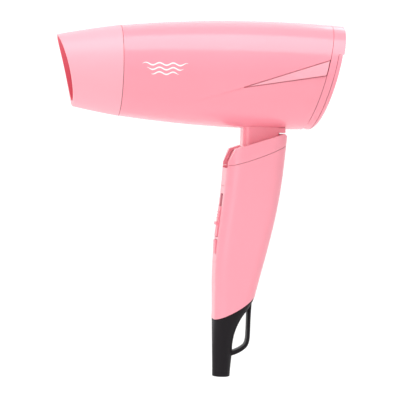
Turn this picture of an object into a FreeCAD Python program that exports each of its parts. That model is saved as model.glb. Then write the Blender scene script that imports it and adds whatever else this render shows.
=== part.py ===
import FreeCAD, Part
import Sketcher
import math
import os
from types import SimpleNamespace

# Folding hair dryer, millimetres.
# X runs along the barrel: -X is the way the air blows. +Z is up, Y is across, and the
# dryer is nearly symmetric about Y = 0. The origin is on the barrel's axis, in the
# middle of the round land just inside the air outlet.

V = FreeCAD.Vector
doc = FreeCAD.newDocument("hair_dryer")

# ---------------------------------------------------------------- driving sizes
SIZES = {
    # barrel: one arc of revolution between the nozzle seam and the tail
    "seam_x": 24.0, "seam_r": 30.5, "tail_x": 182.0, "tail_r": 34.74, "barrel_arc": 850.0,
    "barrel_wall": 2.4, "seam_gap": 0.3, "rear_tilt": 14.0, "rear_seam_x": 159.0, "rear_face_x": 168.0,
    # nozzle and air outlet
    "lip_x": -21.5, "lip_r": 21.95, "nozzle_arc": 600.0, "nozzle_skin": 2.0, "tube_r": 21.3,
    "land_r": 20.8, "land_half": 5.0, "tube_wall": 1.3, "tube_end": 9.5,
    # rear cap and inlet
    "cap_round": 3.0, "rear_dome": 0.9, "dome_arc": 681.0, "brow_level": 14.6, "brow_step": 1.0,
    "grille_depth": 2.6, "slot_pitch": 4.6, "slot_gap": 2.4,
    # side trim wedge
    "trim_tip_x": 106.0, "trim_tip_z": -8.9, "trim_length": 55.0, "trim_top_slope": 0.341,
    "trim_low_slope": 0.174, "trim_depth": 1.2,
    "trim_gap": 0.35, "trim_lift": 5.7,
    # heater
    "shield_r": 26.1, "shield_wall": 0.6, "shield_x0": 11.0, "shield_x1": 88.0,
    "mica_x0": 16.0, "mica_x1": 84.0, "mica_half": 22.0, "mica_thick": 0.8,
    "coil_r": 19.0, "coil_wire": 0.55, "coil_x0": 22.0, "coil_pitch": 7.0, "coil_turns": 8,
    # fan and motor
    "duct_r": 28.2, "duct_wall": 1.0, "duct_x0": 90.0, "duct_x1": 130.0, "cup_r": 13.4, "motor_r": 12.2,
    "shaft_r": 1.0, "bush_clear": 0.05, "fan_r": 26.3, "fan_hub_r": 11.5, "blades": 9, "vanes": 7,
    # hinge
    "pivot_x": 119.0, "pivot_z": -55.8, "pin_r": 2.5, "pin_clear": 0.05, "pin_half": 14.0,
    "neck_x0": 109.0, "neck_x1": 133.6, "neck_half": 9.5, "neck_clear": 0.4, "neck_round": 5.0, "knuckle_room": 14.9,
    # handle, from the neck down
    "grip_wall": 2.3, "slot_floor": -63.6, "shoulder_z": -62.5,
    # switches on the handle's front
    "slider_z0": -110.6, "slider_z1": -89.8, "track_z1": -81.2, "slider_half": 4.2, "control_gap": 0.3,
    "button_z0": -122.0, "button_z1": -113.0, "button_half": 4.2, "plate_half": 7.2,
    "plate_z0": -128.0, "plate_z1": -76.0, "slider_lean": 6.5,
    # cord guard
    "guard_x": 99.8, "guard_bottom": -206.2, "cord_r": 3.5, "bore_length": 30.0, "strap_half": 4.4,
}

# Handle sections from the top down: level, front, rear, half width, corner radius.
GRIP = [
    (-37.0, 99.8, 139.4, 17.8, 10.0),
    (-64.0, 98.0, 137.3, 17.3, 10.0),
    (-89.0, 96.1, 134.1, 16.6, 9.5),
    (-113.0, 93.6, 129.4, 15.6, 9.0),
    (-143.0, 92.6, 122.3, 14.2, 8.5),
    (-170.0, 92.7, 116.6, 12.8, 8.0),
]

# Cord guard sections from the handle down to the cord tube.
GUARD = [
    (-150.0, 92.6, 120.9, 13.8, 8.3),
    (-158.0, 92.7, 117.6, 12.9, 7.6),
    (-165.0, 92.7, 112.6, 11.6, 6.8),
    (-171.0, 92.8, 109.8, 10.3, 6.2),
    (-177.0, 92.9, 108.0, 9.0, 6.0),
    (-184.0, 93.1, 107.0, 7.7, 6.1),
    (-191.6, 93.2, 106.7, 6.75, 6.2),
    (-206.2, 93.8, 105.8, 6.0, 5.6),
]

SECTION_FIELDS = ("level", "front", "rear", "half", "corner")
for family, table in (("grip", GRIP), ("guard", GUARD)):
    for row, section in enumerate(table):
        for field, value in zip(SECTION_FIELDS, section):
            SIZES[f"{family}{row}_{field}"] = value

sheet = doc.addObject("Spreadsheet::Sheet", "Dims")
for row, (alias, value) in enumerate(SIZES.items(), start=1):
    sheet.set(f"A{row}", alias)
    sheet.set(f"B{row}", str(value))
    sheet.setAlias(f"B{row}", alias)
doc.recompute()


class Term:
    """A size with its value and the expression that binds it to the sheet."""

    def __init__(self, value, text):
        self.value = value
        self.text = text

    def _join(self, other, sign, result):
        return Term(result, f"({self.text} {sign} {as_term(other).text})")

    def __add__(self, other):
        return self._join(other, "+", self.value + as_term(other).value)

    def __sub__(self, other):
        return self._join(other, "-", self.value - as_term(other).value)

    def __mul__(self, other):
        return self._join(other, "*", self.value * as_term(other).value)

    def __truediv__(self, other):
        return self._join(other, "/", self.value / as_term(other).value)

    def __neg__(self):
        return Term(-self.value, f"(0 - {self.text})")

    def __radd__(self, other):
        return as_term(other) + self

    def __rsub__(self, other):
        return as_term(other) - self

    def __rmul__(self, other):
        return as_term(other) * self


def as_term(value):
    if isinstance(value, Term):
        return value
    return Term(float(value), f"({float(value):.6f})")


D = SimpleNamespace(**{alias: Term(float(value), f"Dims.{alias}") for alias, value in SIZES.items()})


def section_terms(family, row):
    return [getattr(D, f"{family}{row}_{field}") for field in SECTION_FIELDS]


def bind(obj, prop, value):
    obj.setExpression(prop, as_term(value).text)


# ---------------------------------------------------------------- drawing helpers
def draw(sketch, corners, arcs=None):
    """Closed outline through the corners. arcs maps a side's number to (radius, turn):
    turn +1 keeps the arc's centre on the left of that side, -1 on its right."""
    arcs = arcs or {}
    count = len(corners)
    ends = []
    points = [(as_term(a), as_term(b)) for a, b in corners]
    for side in range(count):
        (ax, ay), (bx, by) = points[side], points[(side + 1) % count]
        start, end = V(ax.value, ay.value, 0), V(bx.value, by.value, 0)
        if side not in arcs:
            sketch.addGeometry(Part.LineSegment(start, end))
            ends.append((1, 2))
            continue
        radius, turn = arcs[side]
        chord = end - start
        across = V(-chord.y, chord.x, 0).normalize()
        rise = math.sqrt(max(as_term(radius).value ** 2 - (chord.Length / 2) ** 2, 0.0))
        centre = (start + end) * 0.5 + across * rise * turn
        first, last = (start, end) if turn > 0 else (end, start)
        angles = [math.atan2(p.y - centre.y, p.x - centre.x) for p in (first, last)]
        circle = Part.Circle(centre, V(0, 0, 1), as_term(radius).value)
        sketch.addGeometry(Part.ArcOfCircle(circle, angles[0], angles[1]))
        ends.append((1, 2) if turn > 0 else (2, 1))
    for side in range(count):
        after = (side + 1) % count
        sketch.addConstraint(Sketcher.Constraint("Coincident", side, ends[side][1], after, ends[after][0]))
    for side in range(count):
        for kind, term in zip(("DistanceX", "DistanceY"), points[side]):
            index = sketch.addConstraint(Sketcher.Constraint(kind, side, ends[side][0], term.value))
            sketch.setExpression(f"Constraints[{index}]", term.text)
        if side in arcs:
            term = as_term(arcs[side][0])
            index = sketch.addConstraint(Sketcher.Constraint("Radius", side, term.value))
            sketch.setExpression(f"Constraints[{index}]", term.text)


def rounded(front, rear, half, corner):
    """Corners and arcs of a rounded rectangle from front to rear, half wide each way."""
    corners = [
        (front + corner, -half), (rear - corner, -half), (rear, -half + corner), (rear, half - corner),
        (rear - corner, half), (front + corner, half), (front, half - corner), (front, -half + corner),
    ]
    return corners, {side: (corner, 1) for side in (1, 3, 5, 7)}


def side_sketch(name, corners, arcs=None):
    """Outline in the XZ plane."""
    sketch = doc.addObject("Sketcher::SketchObject", name)
    sketch.Placement = FreeCAD.Placement(V(0, 0, 0), FreeCAD.Rotation(V(1, 0, 0), 90))
    draw(sketch, corners, arcs)
    return sketch


def turned(name, corners, arcs=None):
    """Solid of revolution about the barrel's axis, from (x, radius) corners."""
    revolution = doc.addObject("Part::Revolution", name)
    revolution.Source = side_sketch(name + "_profile", corners, arcs)
    revolution.Axis = V(1, 0, 0)
    revolution.Angle = 360
    revolution.Solid = True
    return revolution


def prism(name, corners, arcs=None, half=60.0):
    """Side outline extended to both sides of the middle plane."""
    extrusion = doc.addObject("Part::Extrusion", name)
    extrusion.Base = side_sketch(name + "_outline", corners, arcs)
    extrusion.DirMode = "Custom"
    extrusion.Dir = V(0, 1, 0)
    extrusion.Solid = True
    bind(extrusion, "LengthFwd", half)
    bind(extrusion, "LengthRev", half)
    return extrusion


def box(name, x0, x1, y0, y1, z0, z1):
    block = doc.addObject("Part::Box", name)
    bind(block, "Length", x1 - x0)
    bind(block, "Width", y1 - y0)
    bind(block, "Height", z1 - z0)
    for axis, low in zip("xyz", (x0, y0, z0)):
        bind(block, f"Placement.Base.{axis}", low)
    return block


AXES = {
    "x": FreeCAD.Rotation(V(0, 1, 0), 90),
    "y": FreeCAD.Rotation(V(1, 0, 0), -90),
    "z": FreeCAD.Rotation(),
}


def rod(name, axis, low, high, radius, first=0.0, second=0.0):
    """Cylinder along an axis; first and second are its place on the other two axes in X, Y, Z order."""
    cylinder = doc.addObject("Part::Cylinder", name)
    cylinder.Placement = FreeCAD.Placement(V(0, 0, 0), AXES[axis])
    others = [letter for letter in "xyz" if letter != axis]
    bind(cylinder, "Radius", radius)
    bind(cylinder, "Height", high - low)
    bind(cylinder, f"Placement.Base.{axis}", low)
    bind(cylinder, f"Placement.Base.{others[0]}", first)
    bind(cylinder, f"Placement.Base.{others[1]}", second)
    return cylinder


def cut(name, base, *tools):
    """Base less every tool."""
    result = base
    for number, tool in enumerate(tools, start=1):
        label = name if number == len(tools) else f"{name}_cut{number}"
        step = doc.addObject("Part::Cut", label)
        step.Base, step.Tool = result, tool
        result = step
    return result


def joined(name, *shapes):
    union = doc.addObject("Part::MultiFuse", name)
    union.Shapes = list(shapes)
    return union


def common(name, *shapes):
    overlap = doc.addObject("Part::MultiCommon", name)
    overlap.Shapes = list(shapes)
    return overlap


def tube(name, low, high, outer, inner):
    """Round tube along the barrel's axis."""
    return cut(name, rod(name + "_out", "x", low, high, outer), rod(name + "_in", "x", low - 1, high + 1, inner))


def origin_plane(body, role):
    return next(feature for feature in body.Origin.OriginFeatures if feature.Role == role)


def body_sketch(body, name, role, corners, arcs=None, offset=0.0):
    """Sketch on one of the body's own origin planes, moved along the plane's normal by offset."""
    sketch = body.newObject("Sketcher::SketchObject", name)
    sketch.AttachmentSupport = [(origin_plane(body, role), "")]
    sketch.MapMode = "FlatFace"
    bind(sketch, "AttachmentOffset.Base.z", offset)
    draw(sketch, corners, arcs)
    return sketch


def body_feature(body, kind, sketch, length, symmetric=True, reverse=False):
    """Pad or Pocket of a sketch; its length is the whole length, also when symmetric."""
    feature = body.newObject(f"PartDesign::{kind}", f"{sketch.Name}_{kind.lower()}")
    feature.Profile = sketch
    feature.Reversed = reverse
    if symmetric:
        feature.SideType = "Symmetric"
    bind(feature, "Length", length)
    return feature


nodes = []


def finished(obj):
    """Marks an object as one kept piece of the dryer, named by its label."""
    nodes.append(obj)
    return obj


def halves(name, solid):
    """The left (-Y) and right (+Y) halves of a shell."""
    for side, low, high in (("left", -60.0, 0.0), ("right", 0.0, 60.0)):
        room = box(f"{name}_{side}_room", -60.0, 220.0, low, high, -260.0, 60.0)
        yield side, common(f"{name}_{side}_half", solid, room)


def tilted_slab(name, plane_x, near, far, low=-60.0, high=60.0):
    """Slab parallel to the dryer's slanted rear face: near and far are measured along its normal from
    the plane that crosses the barrel's axis at plane_x; low and high run up the plane."""
    slab = doc.addObject("Part::Box", name)
    bind(slab, "Length", far - near)
    bind(slab, "Width", 120.0)
    bind(slab, "Height", high - low)
    turn = FreeCAD.Rotation(V(0, 1, 0), SIZES["rear_tilt"])
    start = turn.multVec(V(float(near), -60.0, float(low)))
    slab.Placement = FreeCAD.Placement(V(plane_x.value, 0, 0) + start, turn)
    return slab


# ---------------------------------------------------------------- barrel surfaces
def barrel_solid(name, inset):
    """The barrel's outer form, drawn in by inset all round, from the nozzle seam to past the rear face."""
    start = D.seam_x + D.seam_gap / 2
    corners = [(start, 0.0), (D.tail_x, 0.0), (D.tail_x, D.tail_r - inset), (start, D.seam_r - inset)]
    return turned(name, corners, {2: (D.barrel_arc - inset, 1)})


barrel_outside = barrel_solid("barrel_outside", 0.0)
barrel_inside = barrel_solid("barrel_inside", D.barrel_wall)


# ---------------------------------------------------------------- nozzle and outlet grille
def make_nozzle():
    """Double-walled mouthpiece: an outer skin, and an inner tube with the land that takes an attachment."""
    body = doc.addObject("PartDesign::Body", "front_nozzle")
    back = D.seam_x - D.seam_gap / 2
    pocket_x = -D.land_half + 3.0
    corners = [
        (D.lip_x, D.tube_r), (-D.land_half - 0.5, D.tube_r), (-D.land_half, D.land_r), (D.land_half, D.land_r),
        (D.land_half, D.tube_r), (D.tube_end, D.tube_r), (D.tube_end, D.tube_r + D.tube_wall),
        (pocket_x, D.tube_r + D.tube_wall), (pocket_x, D.tube_r + D.tube_wall + 1.5),
        (back, D.seam_r - D.nozzle_skin), (back, D.seam_r), (D.lip_x, D.lip_r),
    ]
    profile = body_sketch(body, "nozzle_profile", "XZ_Plane", corners, {10: (D.nozzle_arc, 1)})
    revolution = body.newObject("PartDesign::Revolution", "nozzle_revolution")
    revolution.Profile = profile
    revolution.ReferenceAxis = (profile, ["H_Axis"])
    revolution.Angle = 360
    mouth = [(-19.3, 25.4), (-60.0, 25.4), (-60.0, -25.4), (-6.6, -25.4)]
    scoop = body_sketch(body, "mouth_scoop", "XZ_Plane", mouth, {3: (175.0, 1)})
    body_feature(body, "Pocket", scoop, 120.0)
    return finished(body)


def make_outlet_grille():
    """Concentric rings on six spokes, pressed in behind the land."""
    low, high = D.land_half + 0.2, D.land_half + 3.0
    rings = [tube(f"grille_ring{i}", low, high, r + 0.6, r - 0.6) for i, r in enumerate((6.5, 11.5, 16.0))]
    rim = tube("grille_rim", low, high, D.tube_r - 0.1, D.tube_r - 1.7)
    hub = rod("grille_hub", "x", low, high, 2.4)
    spokes = []
    for number in range(3):
        spoke = box(f"grille_spoke{number}", low, high, -D.tube_r + 0.8, D.tube_r - 0.8, -0.6, 0.6)
        turn = FreeCAD.Rotation(V(1, 0, 0), 60.0 * number)
        start = turn.multVec(V(0, 0.8 - SIZES["tube_r"], -0.6))
        spoke.setExpression("Placement.Base.y", None)
        spoke.setExpression("Placement.Base.z", None)
        spoke.Placement = FreeCAD.Placement(V(low.value, start.y, start.z), turn)
        spokes.append(spoke)
    return finished(joined("outlet_grille", rim, hub, *rings, *spokes))


make_nozzle()
make_outlet_grille()

# ---------------------------------------------------------------- barrel shells and side trims
SCREW_X, SCREW_Z = 150.0, 4.2          # the one screw that joins the barrel halves, under the right trim


def trim_outline(gap):
    """The side wedge: a point ahead, opening to its rear end at the rear seam. The gap widens it all round."""
    tip_x = D.trim_tip_x - gap * 12.4
    tip_z = D.trim_tip_z - gap * 3.2
    end = D.trim_length + 7.0
    return [(tip_x, tip_z), (tip_x + end, tip_z + D.trim_low_slope * end), (tip_x + end, tip_z + D.trim_top_slope * end)]


def make_barrel():
    front = D.seam_x + D.seam_gap / 2
    spigot = tube("barrel_spigot", D.seam_x - 4, D.seam_x + 2, D.seam_r - 2.9, D.seam_r - 4.1)
    step = tube("barrel_step", front, D.seam_x + 2, D.seam_r - 1.0, D.seam_r - 4.1)
    skin = cut("barrel_skin", barrel_outside, barrel_inside)
    pillar_room = barrel_solid("pillar_room", D.barrel_wall - 0.8)
    pillar = common("barrel_pillar", rod("pillar_rod", "y", -40.0, 40.0, 3.3, SCREW_X, SCREW_Z), pillar_room)
    whole = joined("barrel_whole", skin, spigot, step, pillar)
    opening = box("neck_opening", D.neck_x0 - 0.2, D.neck_x1 + 0.2, -D.neck_half - 0.2, D.neck_half + 0.2, -45.0, -24.0)
    behind = tilted_slab("behind_rear_seam", D.rear_seam_x, 0.0, 60.0)
    recess = cut("trim_recess", prism("recess_prism", trim_outline(D.trim_gap)),
                 barrel_solid("recess_floor", D.trim_depth + 0.2))
    screw_hole = rod("barrel_screw_hole", "y", -20.0, 50.0, 1.5, SCREW_X, SCREW_Z)
    head_hole = rod("barrel_screw_seat", "y", 28.0, 50.0, 2.9, SCREW_X, SCREW_Z)
    open_barrel = cut("barrel_open", whole, opening, behind, recess, screw_hole, head_hole)
    for side, half in halves("barrel_shell", open_barrel):
        half.Label = f"barrel_shell_{side}"
        finished(half)


def make_trims():
    """Wedges that stay flush along the upper line and lift away from the barrel towards the lower one."""
    floor = barrel_solid("trim_floor", D.trim_depth)
    start = V(SIZES["trim_tip_x"], 0, SIZES["trim_tip_z"])
    finish = start + V(1, 0, SIZES["trim_top_slope"]) * SIZES["trim_length"]
    for side, sign in (("left", -1), ("right", 1)):
        lifted = barrel_solid(f"trim_{side}_face", 0.0)
        pivot = V(start.x, sign * 35.2, start.z)
        turn = FreeCAD.Rotation(finish - start, sign * SIZES["trim_lift"])
        lifted.Placement = FreeCAD.Placement(V(0, 0, 0), turn, pivot)
        wedge = prism(f"trim_{side}_prism", trim_outline(0.0))
        ahead = tilted_slab(f"trim_{side}_length", D.rear_seam_x, -100.0, -0.4)
        room = box(f"trim_{side}_side", 60.0, 200.0, min(sign * 60.0, 0), max(sign * 60.0, 0), -60.0, 60.0)
        solid = common(f"trim_{side}_solid", lifted, wedge, ahead, room)
        finished(cut(f"side_trim_{side}", solid, floor))


def make_barrel_screw():
    head = rod("barrel_screw_head", "y", 28.0, 30.0, 2.7, SCREW_X, SCREW_Z)
    shank = rod("barrel_screw_shank", "y", -18.0, 28.5, 1.5, SCREW_X, SCREW_Z)
    finished(joined("barrel_screw", head, shank))


make_barrel()
make_trims()
make_barrel_screw()


# ---------------------------------------------------------------- rear cap, inlet grille and mesh
def rear_form(name, back):
    """The barrel's outside ended by a slightly domed face with rounded edges, square to the slanted rear
    plane and moved back by this much along its normal."""
    lens = turned(name + "_lens", [(-60.0, 0.0), (D.rear_dome, 0.0), (0.0, 35.0), (-3.2, 38.4), (-60.0, 38.4)],
                  {1: (D.dome_arc, 1), 2: (D.cap_round * 2, 1)})
    turn = FreeCAD.Rotation(V(0, 1, 0), SIZES["rear_tilt"])
    lens.Placement = FreeCAD.Placement(V(SIZES["rear_face_x"], 0, 0) + turn.multVec(V(-back, 0, 0)), turn)
    return common(name, barrel_outside, lens)


def make_rear():
    """The rear cap keeps a closed brow above, and a slotted inlet grille fills the face below it."""
    thick = (SIZES["rear_face_x"] - SIZES["rear_seam_x"]) * math.cos(math.radians(SIZES["rear_tilt"]))
    ahead = tilted_slab("ahead_of_cap", D.rear_face_x, -200.0, SIZES["seam_gap"] - thick)
    below = box("below_brow", 130.0, 200.0, -60.0, 60.0, -60.0, D.brow_level)
    depth = SIZES["brow_step"] + SIZES["grille_depth"]
    cavity = common("cap_cavity", barrel_inside, tilted_slab("cap_cavity_slab", D.rear_face_x, -20.0, -2.6))
    lower_end = common("cap_lower_end", below, tilted_slab("cap_lower_slab", D.rear_face_x, -depth - 0.3, 5.0))
    finished(cut("rear_cap", rear_form("cap_form", 0.0), ahead, cavity, lower_end))

    face = cut("grille_face", rear_form("grille_form", SIZES["brow_step"]),
               tilted_slab("ahead_of_grille", D.rear_face_x, -200.0, -depth),
               box("above_grille", 130.0, 200.0, -60.0, 60.0, D.brow_level - 0.3, 60.0))
    slots = []
    pitch, reach, rib, rib_step = SIZES["slot_pitch"], 28.0, 0.9, 12.0
    turn = FreeCAD.Rotation(V(0, 1, 0), SIZES["rear_tilt"])
    for row in range(-6, 3):
        level = row * pitch
        half = math.sqrt(reach ** 2 - level ** 2)
        for column, low in enumerate((-half, -rib_step + rib, rib, rib_step + rib)):
            high = (-rib_step - rib, -rib, rib_step - rib, half)[column]
            if high - low < 2.0:
                continue
            slot = doc.addObject("Part::Box", f"inlet_slot{row + 6}_{column}")
            slot.Length, slot.Width = 14.0, high - low
            bind(slot, "Height", D.slot_gap)
            corner = turn.multVec(V(-9.0, low, level - SIZES["slot_gap"] / 2))
            slot.Placement = FreeCAD.Placement(V(SIZES["rear_face_x"], 0, 0) + corner, turn)
            slots.append(slot)
    finished(cut("inlet_grille", face, joined("inlet_slots", *slots)))

    mesh_room = barrel_solid("mesh_room", D.barrel_wall + 0.4)
    finished(common("inlet_mesh", mesh_room, tilted_slab("mesh_slab", D.rear_face_x, -depth - 1.6, -depth - 1.0)))


make_rear()


# ---------------------------------------------------------------- heater
def make_heater():
    finished(tube("heat_shield", D.shield_x0, D.shield_x1, D.shield_r, D.shield_r - D.shield_wall))

    turns = []
    for number in range(SIZES["coil_turns"]):
        turn = doc.addObject("Part::Torus", f"coil_turn{number}")
        bind(turn, "Radius1", D.coil_r)
        bind(turn, "Radius2", D.coil_wire)
        turn.Placement = FreeCAD.Placement(V(0, 0, 0), AXES["x"])
        bind(turn, "Placement.Base.x", D.coil_x0 + number * D.coil_pitch)
        turns.append(turn)
    finished(joined("heating_coil", *turns))

    flat = box("mica_flat", D.mica_x0, D.mica_x1, -D.mica_half, D.mica_half, -D.mica_thick / 2, D.mica_thick / 2)
    upright = box("mica_upright", D.mica_x0, D.mica_x1, -D.mica_thick / 2, D.mica_thick / 2,
                  -D.mica_half, D.mica_half)
    notches = []
    for number in range(SIZES["coil_turns"]):
        x = D.coil_x0 + number * D.coil_pitch
        for corner, (y, z) in enumerate(((0, -1), (-1, 0), (0, 1), (1, 0))):
            cy, cz = y * D.coil_r, z * D.coil_r
            notches.append(box(f"mica_notch{number}_{corner}", x - 0.9, x + 0.9, cy - 0.9, cy + 0.9, cz - 0.9, cz + 0.9))
    finished(cut("mica_boards", joined("mica_cross", flat, upright), joined("mica_notches", *notches)))

    finished(box("thermostat", 68.0, 78.0, 4.0, 12.0, D.mica_thick / 2, 4.6))
    finished(rod("thermal_fuse", "x", 66.0, 78.0, 1.6, -8.0, D.mica_thick / 2 + 1.6))
    diodes = [rod(f"diode{i}", "x", 74.0, 80.0, 1.3, y, -D.mica_thick / 2 - 1.3) for i, y in enumerate((4, 8, -4, -8))]
    finished(joined("rectifier_diodes", *diodes))


make_heater()


# ---------------------------------------------------------------- fan, motor and their duct
def ring_of(name, count, make_one, start=0.0):
    """count copies of a piece, turned evenly about the barrel's axis."""
    copies = []
    for number in range(count):
        piece = make_one(f"{name}{number}")
        turn = FreeCAD.Rotation(V(1, 0, 0), start + 360.0 * number / count)
        piece.Placement = FreeCAD.Placement(V(0, 0, 0), turn).multiply(piece.Placement)
        copies.append(piece)
    return copies


def free_box(name, x0, x1, y0, y1, z0, z1):
    """A box placed by value, so that it can be turned afterwards."""
    block = doc.addObject("Part::Box", name)
    block.Length, block.Width, block.Height = x1 - x0, y1 - y0, z1 - z0
    block.Placement.Base = V(x0, y0, z0)
    return block


def make_duct():
    outer = tube("duct_tube", D.duct_x0, D.duct_x1, D.duct_r, D.duct_r - D.duct_wall)
    cup = tube("duct_cup", 93.5, 116.0, D.cup_r, D.motor_r)
    nose = rod("duct_nose", "x", 92.3, 94.0, D.cup_r)
    inner, outer_r = SIZES["cup_r"] - 0.5, SIZES["duct_r"] - 0.5
    vanes = ring_of("duct_vane", int(SIZES["vanes"]), lambda n: free_box(n, 96.0, 112.0, -0.6, 0.6, inner, outer_r))
    feet = ring_of("duct_foot", 4, lambda n: free_box(n, 98.0, 103.0, -1.5, 1.5, outer_r, 33.3), start=45.0)
    finished(joined("fan_duct", outer, cup, nose, *vanes, *feet))


def make_motor():
    can = joined("motor_can_whole", tube("can_tube", 94.2, 116.0, D.motor_r, D.motor_r - 1.0),
                 rod("can_front", "x", 94.2, 95.6, D.motor_r - 0.5), tube("can_boss", 95.0, 98.6, 4.2, 3.0))
    can.Label = "motor_can"
    finished(can)
    bell = joined("end_bell_plate", rod("bell_disc", "x", 116.0, 117.6, D.motor_r),
                  rod("bell_boss", "x", 117.0, 119.2, 4.2))
    finished(cut("motor_end_bell", bell, rod("bell_bore", "x", 110.0, 125.0, 3.0)))
    bore = D.shaft_r + D.bush_clear
    finished(joined("motor_bushes", tube("bush_front", 95.8, 98.6, 3.0, bore), tube("bush_rear", 116.2, 119.2, 3.0, bore)))
    ring = tube("magnet_ring", 101.0, 112.5, D.motor_r - 1.0, D.motor_r - 2.8)
    finished(cut("field_magnets", ring, box("magnet_split", 95.0, 118.0, -20.0, 20.0, -4.0, 4.0)))

    finished(rod("motor_shaft", "x", 96.4, 130.5, D.shaft_r))
    core = cut("armature_core", rod("armature_disc", "x", 100.5, 112.8, 8.8), rod("armature_bore", "x", 95.0, 120.0, D.shaft_r))
    slots = ring_of("armature_slot", 3, lambda n: free_box(n, 95.0, 120.0, -1.2, 1.2, 4.5, 12.0))
    finished(cut("armature", core, joined("armature_slots", *slots)))


def make_fan():
    """Nine pitched blades on a cupped hub."""
    hub = rod("fan_hub", "x", 121.0, 129.0, D.fan_hub_r)
    hollow = tube("fan_hub_hollow", 119.0, 127.4, D.fan_hub_r - 1.4, 3.2)
    blades = []
    for number in range(int(SIZES["blades"])):
        blade = free_box(f"fan_blade{number}", -6.0, 6.0, -0.6, 0.6, SIZES["fan_hub_r"] - 0.7, SIZES["fan_r"])
        pitch = FreeCAD.Placement(V(125.0, 0, 0), FreeCAD.Rotation(V(0, 0, 1), 40.0))
        turn = FreeCAD.Placement(V(0, 0, 0), FreeCAD.Rotation(V(1, 0, 0), 360.0 * number / SIZES["blades"]))
        blade.Placement = turn.multiply(pitch).multiply(blade.Placement)
        blades.append(blade)
    wheel = joined("fan_wheel", hub, *blades)
    limit = rod("fan_limit", "x", 119.6, 129.6, D.fan_r)
    finished(cut("fan_impeller", common("fan_trimmed", wheel, limit), hollow,
                 rod("fan_bore", "x", 110.0, 140.0, D.shaft_r)))


make_duct()
make_motor()
make_fan()


# ---------------------------------------------------------------- neck
def corner_tool(name, side, x0, toward, radius):
    """What rounds one upright corner of the stem at x0; toward is +1 when the stem lies to its rear."""
    ends = sorted((x0 - toward * 0.5, x0 + toward * radius.value))
    edge = side * D.neck_half.value
    flank = sorted((edge + side * 0.5, edge - side * radius.value))
    block = box(name + "_block", ends[0], ends[1], flank[0], flank[1], -70.0, -32.0)
    core = rod(name + "_core", "z", -71.0, -30.0, radius, x0 + toward * radius.value, edge - side * radius.value)
    return cut(name, block, core)


def make_neck():
    """Lug under the barrel: a flange held between the shells, a stem, and the knuckle that turns on the pin."""
    body = doc.addObject("PartDesign::Body", "neck_body")
    outline = [(D.neck_x0, -30.0), (D.neck_x0, D.pivot_z - 0.2), (D.neck_x1 - 0.6, D.pivot_z - 0.2),
               (D.neck_x1, D.pivot_z + 6.0), (D.neck_x1, -30.0)]
    stem = body_sketch(body, "neck_stem", "XZ_Plane", outline, {1: (13.3, 1)})
    body_feature(body, "Pad", stem, D.neck_half * 2)
    plate = [(D.neck_x0 - 4, -31.2), (D.neck_x1 + 4, -31.2), (D.neck_x1 + 4, -28.8), (D.neck_x0 - 4, -28.8)]
    flange = body_sketch(body, "neck_flange", "XZ_Plane", plate)
    body_feature(body, "Pad", flange, 24.8)
    way = [(114.0, -26.0), (114.0, -45.0), (128.0, -45.0), (128.0, -26.0)]
    wires = body_sketch(body, "neck_wire_way", "XZ_Plane", way)
    body_feature(body, "Pocket", wires, 9.0)
    doc.recompute()
    bore = body.newObject("Sketcher::SketchObject", "neck_bore")
    bore.AttachmentSupport = [(origin_plane(body, "XZ_Plane"), "")]
    bore.MapMode = "FlatFace"
    bore.addGeometry(Part.Circle(V(SIZES["pivot_x"], SIZES["pivot_z"], 0), V(0, 0, 1), SIZES["pin_r"]))
    for kind, place, term in (("DistanceX", 3, D.pivot_x), ("DistanceY", 3, D.pivot_z)):
        index = bore.addConstraint(Sketcher.Constraint(kind, 0, place, term.value))
        bore.setExpression(f"Constraints[{index}]", term.text)
    index = bore.addConstraint(Sketcher.Constraint("Radius", 0, SIZES["pin_r"]))
    bore.setExpression(f"Constraints[{index}]", (D.pin_r + D.pin_clear).text)
    body_feature(body, "Pocket", bore, 60.0)
    corners = []
    for side, name in ((-1, "left"), (1, "right")):
        corners.append(corner_tool(f"neck_front_{name}", side, SIZES["neck_x0"], 1, D.neck_round))
        corners.append(corner_tool(f"neck_rear_{name}", side, SIZES["neck_x1"], -1, D.neck_round * 0.4))
    lip = cut("neck_lip", box("neck_lip_block", D.neck_x1 - 3, D.neck_x1 + 4, -D.neck_half, D.neck_half, -38.9, -30.0),
              barrel_solid("neck_lip_clear", -0.3))
    finished(joined("hinge_neck", cut("neck_rounded", body, *corners), lip))


make_neck()


# ---------------------------------------------------------------- handle
def lofted(name, family, inset, ruled=False):
    """Loft through a family's rounded sections, drawn in by inset; a ruled one is straight between them."""
    sections = []
    for row in range(len(GRIP if family == "grip" else GUARD)):
        level, front, rear, half, corner = section_terms(family, row)
        sketch = doc.addObject("Sketcher::SketchObject", f"{name}_section{row}")
        bind(sketch, "Placement.Base.z", level)
        draw(sketch, *rounded(front + inset, rear - inset, half - inset, corner - inset))
        sections.append(sketch)
    loft = doc.addObject("Part::Loft", name)
    loft.Sections = sections
    loft.Solid = True
    loft.Ruled = ruled
    return loft


SEAM_ARC = 190.0
COLLAR_FRONT = 102.2
COLLAR_TOE = 97.6
JOINT_ARC = 72.0
JOINT_FRONT_Z = -167.45
JOINT_REAR_Z = -149.65

grip = lofted("grip_outside", "grip", 0.0)
grip_inside = lofted("grip_inside", "grip", D.grip_wall)


def hinge_room(name, half):
    """Room for the neck at every angle of the fold: a round chamber, the way up, and the slot at the front."""
    chamber = rod(name + "_round", "y", -half, half, D.knuckle_room, D.pivot_x, D.pivot_z)
    up = box(name + "_up", D.pivot_x - 4, D.neck_x1 + 0.6, -half, half, D.pivot_z, -20.0)
    ahead = prism(name + "_ahead", [(85.0, -20.0), (85.0, D.slot_floor), (98.0, D.slot_floor),
                                    (D.pivot_x - 8, D.slot_floor - 2.4), (D.pivot_x + 2, D.slot_floor - 2.4),
                                    (D.pivot_x + 2, -20.0)], half=half)
    return joined(name, chamber, up, ahead)


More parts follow.
